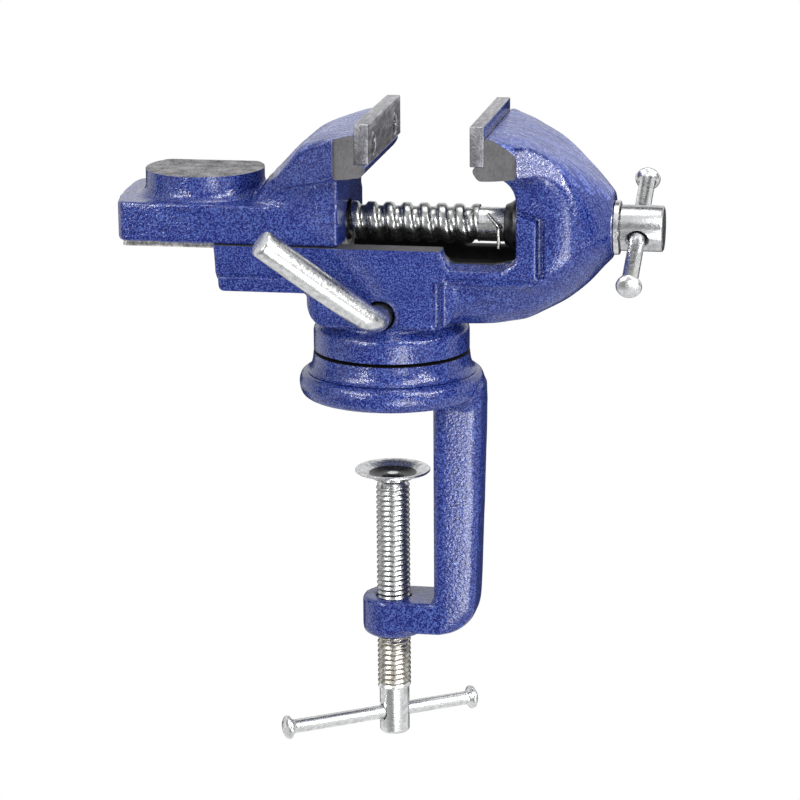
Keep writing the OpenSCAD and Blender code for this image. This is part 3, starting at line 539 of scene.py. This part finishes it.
neck_foot, bed_top, jaw_side, axis_z, lever_z = 15.4, 52.7, 30.0, 57.6, 30.8
fixed_seat, seat_z, channel_end = 35.2, 81.58, 44.2
trough_floor, trough_half, mouth_half, rail_foot, rail_half = 43.0, 13.6, 14, 49.85, 16.6
body_cast = raw_casting("vise_body", "body_casting")
add_stock(body_cast, lambda x, y, z: z < neck_foot + 0.05, (0, 0, -1.2))
add_stock(body_cast, lambda x, y, z: abs(z - bed_top) < 0.05 and x < 19.6 and abs(y) > 13, (0, 0, 1.5))
for side in (-1, 1):
    add_stock(body_cast, lambda x, y, z: y * side > jaw_side - 0.05 and x < 46, (0, side, 0))
# the bulb behind the jaw is round, its flats run into each other on the way to the nose
add_stock(body_cast, lambda x, y, z: 44 < x < 47 and z > 84, (0, 0, 1.5))
add_stock(body_cast, lambda x, y, z: 66.5 < x < 69 and z > 68.5, (0, 0, 1.2))
add_stock(body_cast, lambda x, y, z: 71 < x < 72.5 and z > 64, (0, 0, 0.8))
add_stock(body_cast, lambda x, y, z: 45 < x < 70 and z < 47, (0.4, 0, -1.1))
soften(body_cast, 200,
       lambda x, y, z: np.minimum(np.where(z > 84, (x - 38) / 8, (x - 46) / 8), (73.4 - x) / 2))
# lines sunk round the slab beside the throat, beside the boss, over the belly and over the bed's foot
sunk_lines = (((50.8, 21.0, 44.8), (53.5, 30, 64.4), 0), ((42.5, 21.6, 64.3), (52.6, 30, 66.0), 19),
              ((17.6, 21.4, 27.4), (20.6, 30, 42.6), 0), ((21.5, 21.8, 42.6), (50.5, 30, 43.9), 0),
              ((-60, 21.9, 42.2), (-21, 30, 43.4), 0))
for side in (-1, 1):
    # a flat on the jaw's flank, behind the machined side, with a ledge under it
    low_y, high_y = sorted((side * 21.09, side * 29.09))
    combine(body_cast, block((44.61, low_y, 76.66), (70.61, high_y, 88.66), (side * 22, 0, -side * 28)))
    for (low_x, near_y, low_z), (high_x, far_y, high_z), lean in sunk_lines:
        low_y, high_y = sorted((side * near_y, side * far_y))
        combine(body_cast, block((low_x, low_y, low_z), (high_x, high_y, high_z), (0, lean, 0)))
sand_cast(body_cast, 3)
# then the neck's foot, the gap at its rim, the bed, the jaw's sides and the plate's seat are machined
combine(body_cast, block((-40, -40, 0), (40, 40, neck_foot)))
combine(body_cast, turned("rim_gap", [(22.3, 15.0), (30, 15.0), (30, 16.0), (22.3, 15.42), (22.3, 15.0)]))
combine(body_cast, block((-60, -24.5, bed_top), (30.0, 24.5, bed_top + 6)))
plane_sides(body_cast, near=30, far=45.4)
combine(body_cast, block((29, -40, seat_z), (fixed_seat, 40, 110)))
# the channel: the mouth slants outwards to the rails' foot, over a square trough
combine(body_cast, block((-60, -trough_half, trough_floor), (channel_end, trough_half, 54)))
channel = block((-60, -mouth_half, rail_foot), (channel_end, mouth_half, bed_top))
pick_corners(channel, lambda x, y, z: z < rail_foot + 0.1)
bpy.ops.transform.resize(value=(1, rail_half / mouth_half, 1))
bpy.ops.object.mode_set(mode="OBJECT")
combine(body_cast, channel)
# the bores for the lock lever and the spindle
combine(body_cast, rod(4.92, (0, -30, lever_z), (0, -18.4, lever_z)))
combine(body_cast, rod(5.72, (40, 0, axis_z), (80, 0, axis_z)))


def body_faces(x, y, z, nx, ny, nz):
    """Machined iron where cut; near-black oiled iron as painted shade in the channel, bores and neck's foot;
    streaked tops painted paler as painted light.
    """
    cut = (np.abs(y) > jaw_side - 0.02) & (np.abs(ny) > 0.9) & (x < 45.6)
    cut |= (np.abs(z - bed_top) < 0.03) & (nz > 0.95) & (x < 19.1)
    cut |= (np.abs(x - fixed_seat) < 0.05) & (z > 81) & (nx < -0.9)
    # the channel, the bores and the neck's foot are painted near black: painted shade in the hollows and the
    # gap
    dark = (np.abs(y) < rail_half + 0.05) & (x > -54.8) & (x < channel_end + 0.05)
    dark &= (z > trough_floor - 0.1) & (z < bed_top - 0.02)
    dark |= (np.hypot(x, z - lever_z) < 5.0) & (y < -18.3)
    dark |= (np.hypot(y, z - axis_z) < 5.8) | (z < neck_foot + 0.02)
    # the jaw's upward faces take the paler enamel: painted light on the tops
    lit_top = (nz > 0.45) & (x > 35) & (z > 66)
    return np.select([cut, dark, lit_top], [1, 2, 3])


paint_faces(body_cast, [hammertone, machined, oiled_and_shaded, linished_lit_top], body_faces)
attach(body_cast, "vise_body")
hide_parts("vise_body")

# Moving jaw: the third casting, a hollow slide with the anvil on top and the
# other jaw in front. The anvil, the jaw's sides and the rail are machined.
anvil_top, moving_seat = 74.25, -6.4
slide_cast = raw_casting("moving_jaw", "slide_casting")
add_stock(slide_cast, lambda x, y, z: abs(z - anvil_top) < 0.05, (0, 0, 1.5))
for side in (-1, 1):
    add_stock(slide_cast, lambda x, y, z: y * side > jaw_side - 0.05 and x > -13.4, (0, side, 0))
# the jaw's back is domed
add_stock(slide_cast, lambda x, y, z: -27 < x < -17 and z > 82, (-0.3, 0, 1.3))
soften(slide_cast, 90, lambda x, y, z: np.minimum((z - 77.5) / 3, (-14.5 - x) / 3))
sand_cast(slide_cast, 3)
combine(slide_cast, block((-90, -30, anvil_top), (-35, 30, anvil_top + 4)))
plane_sides(slide_cast, near=-13.1, far=0)
combine(slide_cast, block((moving_seat, -40, seat_z), (2, 40, 110)))


def slide_faces(x, y, z, nx, ny, nz):
    """A rubbed rail painted bright as painted light, a stained anvil, machined iron where cut, a bore painted
    near black as painted shade, a streaked top painted paler as painted light.
    """
    # the rail under the slide is painted bright: painted light in the slide's shade
    rail = z < 52.75
    face = (np.abs(z - anvil_top) < 0.03) & (nz > 0.9) & (x < -35)
    cut = (np.abs(y) > jaw_side - 0.02) & (np.abs(ny) > 0.9) & (x > -13.3)
    cut |= (np.abs(x - moving_seat) < 0.05) & (z > 81) & (nx > 0.9)
    # the spindle's bore is painted near black: painted shade in the hollow
    dark = np.hypot(y, z - axis_z) < 7.2
    # the jaw's upward faces take the paler enamel: painted light on the tops
    lit_top = (nz > 0.5) & (x > -30) & (z > 79)
    return np.select([rail, face, cut, dark, lit_top], [4, 5, 1, 2, 3])


paint_faces(slide_cast, [hammertone, machined, oiled_and_shaded, linished_lit_top, rubbed_and_lit, stained], slide_faces)
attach(slide_cast, "moving_jaw")
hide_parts("moving_jaw")

# Nut and its pin: a bronze block in the slide's pocket, which the spindle
# drives, and the steel pin that holds it.
bronze, tree, alloy = new_finish("nut_bronze")
tarnish = speckle(tree, 280, 4)
brown = shaded(tree, tarnish, (0.16, 0.10, 0.045, 1), (0.42, 0.27, 0.12, 1), 0.35, 0.65)
feed(tree, alloy, {"Base Color": brown, "Metallic": 1.0, "Roughness": 0.38})
one_finish(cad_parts["spindle_nut"], bronze)
one_finish(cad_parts["nut_pin"], zinc)

# Jaw plates and their screws: two ground steel plates with fine lines and
# softened edges, each held by two slotted countersunk screws.
ground, tree, steel = new_finish("ground_steel")
lines = speckle(tree, 1800, stretch=(1, 0.06, 1))
mottle = reckon(tree, "MULTIPLY", reckon(tree, "ADD", lines, speckle(tree, 350, 5)), 0.5)
pale_grey = shaded(tree, mottle, (0.20, 0.20, 0.22, 1), (0.44, 0.44, 0.465, 1), 0.43, 0.60)
feed(tree, steel, {"Base Color": pale_grey, "Metallic": 0.75,
                   "Roughness": spread(tree, mottle, at_low=0.30, at_high=0.48),
                   "Normal": raised(tree, lines, 0.3, 0.03)})

# their ends get darker tones
darker_ends = retoned(ground, "ground_steel_darker_ends", (0.105, 0.105, 0.119, 1), (0.24, 0.24, 0.26, 1))


def joined(name, parts):
    """Joins meshes into the first of them."""
    alone(parts[0])
    for part in parts[1:]:
        part.select_set(True)
    bpy.ops.object.join()
    parts[0].name = name
    return parts[0]


plate_foot, plate_top, plate_half, paint_line = 81.6, 94.5, 30, 91.05
screw_y, screw_z, hole_r, head_r, rim_r, head_end = 19.5, 86.889, 2.02, 3.92, 4.1, 2.35
for name, body, back_x, face_x in (("fixed_jaw", "vise_body", fixed_seat, 30.6),
                                   ("moving_jaw", "moving_jaw", moving_seat, -1.8)):
    inward = 1 if back_x > face_x else -1
    low_x, high_x = sorted((back_x, face_x))
    plate = block((low_x, -plate_half, plate_foot), (high_x, plate_half, plate_top))
    plate.name = name + "_plate_ground"
    alone(plate)
    bpy.ops.object.mode_set(mode="EDIT")
    bpy.ops.mesh.select_all(action="SELECT")
    bpy.ops.mesh.bevel(offset=0.35 * mm, segments=3)
    bpy.ops.object.mode_set(mode="OBJECT")
    for y in (-screw_y, screw_y):
        # each hole runs right through, and has a short straight seat at the face and a countersink
        for radius, start, end, corners, far_radius in (
                (hole_r, face_x - inward, back_x + inward, 48, None),
                (rim_r, face_x - inward, face_x + inward * 0.276, 64, None),
                (head_r, face_x + inward * 0.27, face_x + inward * head_end, 64, hole_r)):
            combine(plate, rod(radius, (start, y, screw_z), (end, y, screw_z), corners, far_radius))
    # the back edge that stands over the casting was painted with it
    alone(plate)
    bpy.ops.object.mode_set(mode="EDIT")
    bpy.ops.mesh.select_all(action="SELECT")
    bpy.ops.mesh.bisect(plane_co=(0, 0, paint_line * mm), plane_no=(0, 0, 1), threshold=1e-7)
    bpy.ops.object.mode_set(mode="OBJECT")
    paint_faces(plate, [ground, hammertone, darker_ends], lambda x, y, z, nx, ny, nz: np.where(
        abs(ny) > 0.9, np.where(abs(y) > plate_half - 0.1, 2, 0), (nx * inward > 0.6) & (z > paint_line)))
    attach(plate, body)
    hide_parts(name + "_plate")
    screws = []
    for side in (-1, 1):
        screw = turned("plate_screw", [(0, 0.04), (2.4, 0.08), (3.3, 0.22), (3.72, 0.36), (3.86, 0.50),
                                       (2.0, 2.32), (2.0, 9.55), (0, 9.55)], 64)
        combine(screw, block((-0.62, -6, -1), (0.62, 6, 1.0), (0, 0, 20 * side)))
        screw.rotation_euler = (0, inward * math.pi / 2, 0)
        screw.location = (face_x * mm, side * screw_y * mm, screw_z * mm)
        alone(screw)
        bpy.ops.object.transform_apply(location=True, rotation=True, scale=True)
        screws.append(screw)
    pair = joined(name + "_screw_pair", screws)
    one_finish(pair, zinc)
    bpy.ops.object.shade_smooth_by_angle(angle=math.radians(35))
    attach(pair, body)
    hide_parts(name + "_screws")

# Spindle: a steel screw with a coarse rounded thread, a plain shank through
# the nose and a drilled head, all zinc plated and a little oily in the thread.
oily_zinc = plated("zinc_oily", (0.20, 0.205, 0.20), (0.50, 0.505, 0.50), 1100, 0.06)
# the head's zinc is painted darker: painted shade in its reflection
shaded_head_zinc = plated("zinc_shaded_head", (0.34, 0.345, 0.355), (0.57, 0.575, 0.585), 1500, 0.08)
pitch, root, crest, thread_start, thread_end = 5.8, 5.25, 6.5, -51.7, 29.5
# one pitch of the thread: how far along, and how high between root and crest
shares = [(0, 0.05), (0.05, 0), (0.19, 0), (0.26, 0.12), (0.35, 0.72), (0.42, 0.93), (0.52, 1), (0.69, 1),
          (0.79, 0.93), (0.86, 0.72), (0.95, 0.12), (1, 0.05)]


def threaded(name, shares, root, crest, pitch, start, end, steps=72):
    """A right-hand thread about Z, wound by the screw modifier from one pitch, and cut off flat."""
    turns = math.ceil((end - start) / pitch) + 2
    # the first turn starts just over a pitch below the lower cut
    run_in = 1.013
    piece = trace([(root + (crest - root) * rise, 0, start + pitch * (run - run_in)) for run, rise in shares])
    piece.name = name
    settle(piece, "SCREW", axis="Z", angle=math.tau, screw_offset=pitch * mm, iterations=turns, steps=steps,
           render_steps=steps)
    bpy.ops.object.mode_set(mode="EDIT")
    bpy.ops.mesh.select_all(action="SELECT")
    bpy.ops.mesh.remove_doubles(threshold=0.002 * mm)
    bpy.ops.mesh.normals_make_consistent(inside=False)
    for height, waste in ((start, {"clear_inner": True}), (end, {"clear_outer": True})):
        bpy.ops.mesh.bisect(plane_co=(0, 0, height * mm), plane_no=(0, 0, 1), use_fill=True,
                            threshold=1e-7, **waste)
        bpy.ops.mesh.select_all(action="SELECT")
    bpy.ops.mesh.normals_make_consistent(inside=False)
    bpy.ops.object.mode_set(mode="OBJECT")
    return piece


def lay(piece, at, along):
    """Turns a piece from Z to another direction and moves it to its place (mm)."""
    piece.rotation_euler = Vector(along).to_track_quat("Z", "Y").to_euler()
    piece.location = Vector(at) * mm
    alone(piece)
    bpy.ops.object.transform_apply(location=True, rotation=True, scale=True)


def drill_across(piece, middle, way, radius, near, far, mouth):
    """Drills a hole across a screw's head, and flares its two mouths from near to far (mm)."""
    combine(piece, rod(radius, middle - way * 12, middle + way * 12))
    for out in (-way, way):
        combine(piece, rod(radius - 0.05, middle + out * near, middle + out * far, far_radius=mouth))


screw = threaded("spindle_screw", shares, root, crest, pitch, thread_start, thread_end)
combine(screw, turned("shank", [(0, 28.6), (4.6, 28.6), (5.6, 29.3), (5.6, 75.6), (7.1, 75.6), (7.5, 76.0),
                                (7.5, 88.7), (7.35, 89.15), (6.9, 89.47), (0, 89.47)]), "UNION")
lay(screw, (0, 0, axis_z), (1, 0, 0))
bar_x, pin_x, tilt = 81.38, 36.7, math.radians(21)
bar_way = Vector((0, -math.cos(tilt), -math.sin(tilt)))
middle = Vector((bar_x, 0, axis_z))
drill_across(screw, middle, bar_way, radius=3.05, near=6.4, far=8.4, mouth=4.6)
# the hole for the split pin
combine(screw, rod(1.12, (pin_x, -12, axis_z), (pin_x, 12, axis_z), 32))
# the head takes the darker zinc: painted shade
oily_up_to, shaded_head_from = 45, 75
paint_faces(screw, [zinc, oily_zinc, shaded_head_zinc],
            lambda x, y, z, nx, ny, nz: np.where(x < oily_up_to, 1, np.where(x > shaded_head_from, 2, 0)))
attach(screw, "spindle")
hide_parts("spindle")

# What rides on the spindle: a bright washer under its head, the black flared
# thrust collar in the throat, and the split pin that keeps the collar there.
washer_x, collar_x = 73.61, 38.1
washer = turned("bright_washer", [(5.68, 0.15), (5.83, 0), (8.6, 0), (8.82, 0.2), (8.82, 1.55), (8.6, 1.78),
                                  (5.83, 1.78), (5.68, 1.6), (5.68, 0.15)])
lay(washer, (washer_x, 0, axis_z), (1, 0, 0))
paint_faces(washer, [zinc])
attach(washer, "spindle")
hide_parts("outer_washer")

collar = turned("black_collar", [(5.68, 0), (6.5, 0), (6.75, 0.35), (7.1, 1.3), (7.8, 2.4), (8.35, 3.0),
                                 (8.58, 3.5), (8.58, 5.7), (8.35, 5.98), (5.68, 5.98), (5.68, 0)])
lay(collar, (collar_x, 0, axis_z), (1, 0, 0))
paint_faces(collar, [blackened])
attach(collar, "spindle")
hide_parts("inner_washer")

pin_steel = plated("split_pin_steel", (0.42, 0.41, 0.38), (0.70, 0.69, 0.65), 1700, 0.03)


def wire(points, radius):
    """A round wire (mm) bent along points."""
    alone(trace(points))
    bpy.ops.object.convert(target="CURVE")
    bent = bpy.context.object.data
    bent.bevel_depth = radius * mm
    bent.bevel_resolution = 4
    bent.use_fill_caps = True
    bpy.ops.object.convert(target="MESH")
    return bpy.context.object


leg_r, eye_r = 0.62, 0.8
lower_leg = wire([(36.74, 9.6, 57.2), (36.74, 8.4, 57.3), (36.74, -6.2, 57.3), (36.74, -6.9, 57.1),
                  (36.74, -7.25, 56.5), (36.70, -7.3, 55.4), (36.6, -7.3, 51.1)], leg_r)
upper_leg = wire([(36.74, 9.6, 58.0), (36.74, 8.4, 57.9), (36.74, -6.2, 57.9), (36.6, -6.95, 58.1),
                  (36.2, -7.25, 58.6), (35.6, -7.3, 59.3), (32.9, -7.3, 62.4)], leg_r)
eye = wire([(36.74, 9.4 + 1.24 * (1 - math.cos(turn)), axis_z + 1.55 * math.sin(turn))
            for turn in np.linspace(0.35, math.tau - 0.35, 22)], eye_r)
split_pin = joined("split_pin_bent", [lower_leg, upper_leg, eye])
paint_faces(split_pin, [pin_steel])
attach(split_pin, "spindle")
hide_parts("split_pin")


# Spindle bar: a loose steel bar through the spindle's head, with both ends
# upset into round knobs that keep it in the hole.
def knobbed_bar(name, bar_r, knob_r, near, far, at, along):
    """A bar with upset ends, from -near to far (mm) along a direction."""
    knob_l = 0.84 * knob_r
    end = [(0, 0), (0.42 * knob_r, 0.02 * knob_l), (0.74 * knob_r, 0.10 * knob_l),
           (0.93 * knob_r, 0.25 * knob_l), (knob_r, 0.44 * knob_l), (0.97 * knob_r, 0.60 * knob_l),
           (0.5 * knob_r + 0.5 * bar_r, 0.76 * knob_l), (bar_r + 0.12, 0.92 * knob_l), (bar_r, 1.15 * knob_l)]
    low, high = -near - knob_l / 2, far + knob_l / 2
    outline = [(r, low + z) for r, z in end] + [(r, high - z) for r, z in reversed(end)]
    bar = turned(name, outline, 64)
    lay(bar, at, along)
    bpy.ops.object.shade_smooth_by_angle(angle=math.radians(50))
    one_finish(bar, zinc)
    return bar


bar = knobbed_bar("spindle_bar_round", bar_r=2.6, knob_r=4.2, near=34, far=30.3, at=middle, along=-bar_way)
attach(bar, "spindle_bar")
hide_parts("spindle_bar")

# Lock lever: a steel rod with a screwed stem that points into the post's
# groove, bent up along the front of the body and cut off square at the end.
lever_zinc = plated("zinc_rough", (0.44, 0.445, 0.45), (0.70, 0.705, 0.71), 900, 0.14)
rod_r, stem_foot, bend_r, bend_y, bend_steps = 2.2, 8.26, 5.904, 26.224, 14
lean, stem_turn = math.radians(65.2), math.radians(-138)
# stem, bend and arm are drawn in one plane first, which is then turned about the stem
bpy.ops.object.select_all(action="DESELECT")
bpy.ops.mesh.primitive_circle_add(vertices=48, radius=rod_r * mm, fill_type="NGON",
                                  location=(0, -stem_foot * mm, 0), rotation=(math.pi / 2, 0, 0))
lever = bpy.context.object
lever.name = "lever_rod"
bpy.ops.object.transform_apply(location=True, rotation=True, scale=True)
bpy.ops.object.mode_set(mode="EDIT")
bpy.ops.mesh.select_mode(type="FACE")
bpy.ops.mesh.select_all(action="SELECT")
for step, size in ((0.25, 1.10), (2.4, 1.64), (0.35, 1.032), (14.96, 1)):
    bpy.ops.mesh.extrude_region_move(TRANSFORM_OT_translate={"value": (0, -step * mm, 0)})
    bpy.ops.transform.resize(value=(size, size, size))
# it swells in the bend and is a little thicker towards its free end
for turn in range(bend_steps):
    bpy.ops.mesh.spin(steps=1, angle=-lean / bend_steps, axis=(0, 0, 1),
                      center=(bend_r * mm, -bend_y * mm, 0))
    bpy.ops.transform.resize(value=(1.004, 1.004, 1.004))
    bpy.ops.transform.translate(value=(0, 0, 0.04 * mm))
arm_way = Vector((math.sin(lean), -math.cos(lean), 0))
for step, drop, size in ((8, 0.06, 1.02), (12, 0, 1.02), (14, -0.2, 1.01), (9.1, -0.15, 1),
                         (0.7, 0, 0.975), (0.45, 0, 0.92), (0.12, 0, 0.9)):
    onward = (arm_way * step + Vector((0, 0, drop))) * mm
    bpy.ops.mesh.extrude_region_move(TRANSFORM_OT_translate={"value": onward})
    bpy.ops.transform.resize(value=(size, size, size))
bpy.ops.mesh.select_all(action="SELECT")
bpy.ops.mesh.normals_make_consistent(inside=False)
bpy.ops.object.mode_set(mode="OBJECT")
lever.rotation_euler = (0, stem_turn, 0)
lever.location = (0, 0, lever_z * mm)
bpy.ops.object.transform_apply(location=True, rotation=True, scale=True)
paint_faces(lever, [lever_zinc])
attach(lever, "lock_lever")
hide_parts("lock_lever")

# Clamp pad, screw and bar: a pressed dished pad held by the peened end of the
# screw, an M12 screw that rises through the boss, and a small loose bar.
pad = turned("clamp_dish", [(3.05, -28.95), (3.05, -30.1), (5.4, -30.1), (6.3, -29.8), (8.0, -28.85),
                            (9.8, -27.95), (11.2, -27.5), (12.25, -27.2), (12.58, -26.9), (12.58, -26.6),
                            (12.35, -26.34), (11.8, -26.3), (10.9, -26.48), (9.6, -26.95), (8.0, -27.75),
                            (6.3, -28.6), (5.3, -28.9), (3.05, -28.95)])
# the dish's floor takes the black steel: painted shade in its hollow
shaded_dish_r = 7.4
paint_faces(pad, [lever_zinc, blackened],
            lambda x, y, z, nx, ny, nz: (np.hypot(x, y) < shaded_dish_r) & (nz > 0.5))
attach(pad, "clamp_pad")
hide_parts("clamp_pad")

clamp_pitch, clamp_root, clamp_crest = 1.75, 5.0, 5.64
clamp_start, clamp_end, browned_below = -103.0, -31.6, -76
clamp_shares = [(0, 0.06), (0.06, 0), (0.13, 0.08), (0.44, 0.95), (0.50, 1), (0.60, 1), (0.66, 0.94),
                (0.94, 0.14), (1, 0.06)]
clamp = threaded("clamp_spindle", clamp_shares, clamp_root, clamp_crest, clamp_pitch,
                 clamp_start, clamp_end, 48)
combine(clamp, turned("clamp_head", [(0, -119.2), (4.15, -119.2), (4.7, -119.0), (5.0, -118.5),
                                     (5.05, -118.1), (5.05, -102.5), (4.7, -102.1),
                                     (0, -102.1)], 64), "UNION")
combine(clamp, turned("clamp_neck", [(0, -32), (5.3, -32), (4.4, -30.75), (2.94, -30.3), (2.94, -28.85),
                                     (3.6, -28.8), (3.62, -28.5), (3.1, -28.1), (1.8, -27.87),
                                     (0, -27.82)], 64), "UNION")
clamp_middle, clamp_turn = Vector((0, 0, -112.0)), math.radians(34.5)
clamp_way = Vector((math.cos(clamp_turn), math.sin(clamp_turn), 0))
drill_across(clamp, clamp_middle, clamp_way, radius=2.75, near=4.1, far=5.6, mouth=3.8)
brown_zinc = plated("zinc_browned", (0.20, 0.18, 0.145), (0.52, 0.505, 0.475), 1100, 0.06)


def clamp_faces(x, y, z, nx, ny, nz):
    """Oil in the thread, browned in its lower part, and a blackened peened end."""
    thread = (z > -101.6) & (z < clamp_end)
    peened = (z > -30) & (np.hypot(x, y) > 2.0)
    return np.select([thread & (z < browned_below), thread, peened], [2, 1, 3])


paint_faces(clamp, [zinc, oily_zinc, brown_zinc, blackened], clamp_faces)
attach(clamp, "clamp_screw")
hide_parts("clamp_screw")

clamp_bar = knobbed_bar("clamp_bar_round", bar_r=2.3, knob_r=4.0, near=39.1, far=28.8,
                        at=clamp_middle, along=clamp_way)
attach(clamp_bar, "clamp_bar")
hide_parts("clamp_bar")
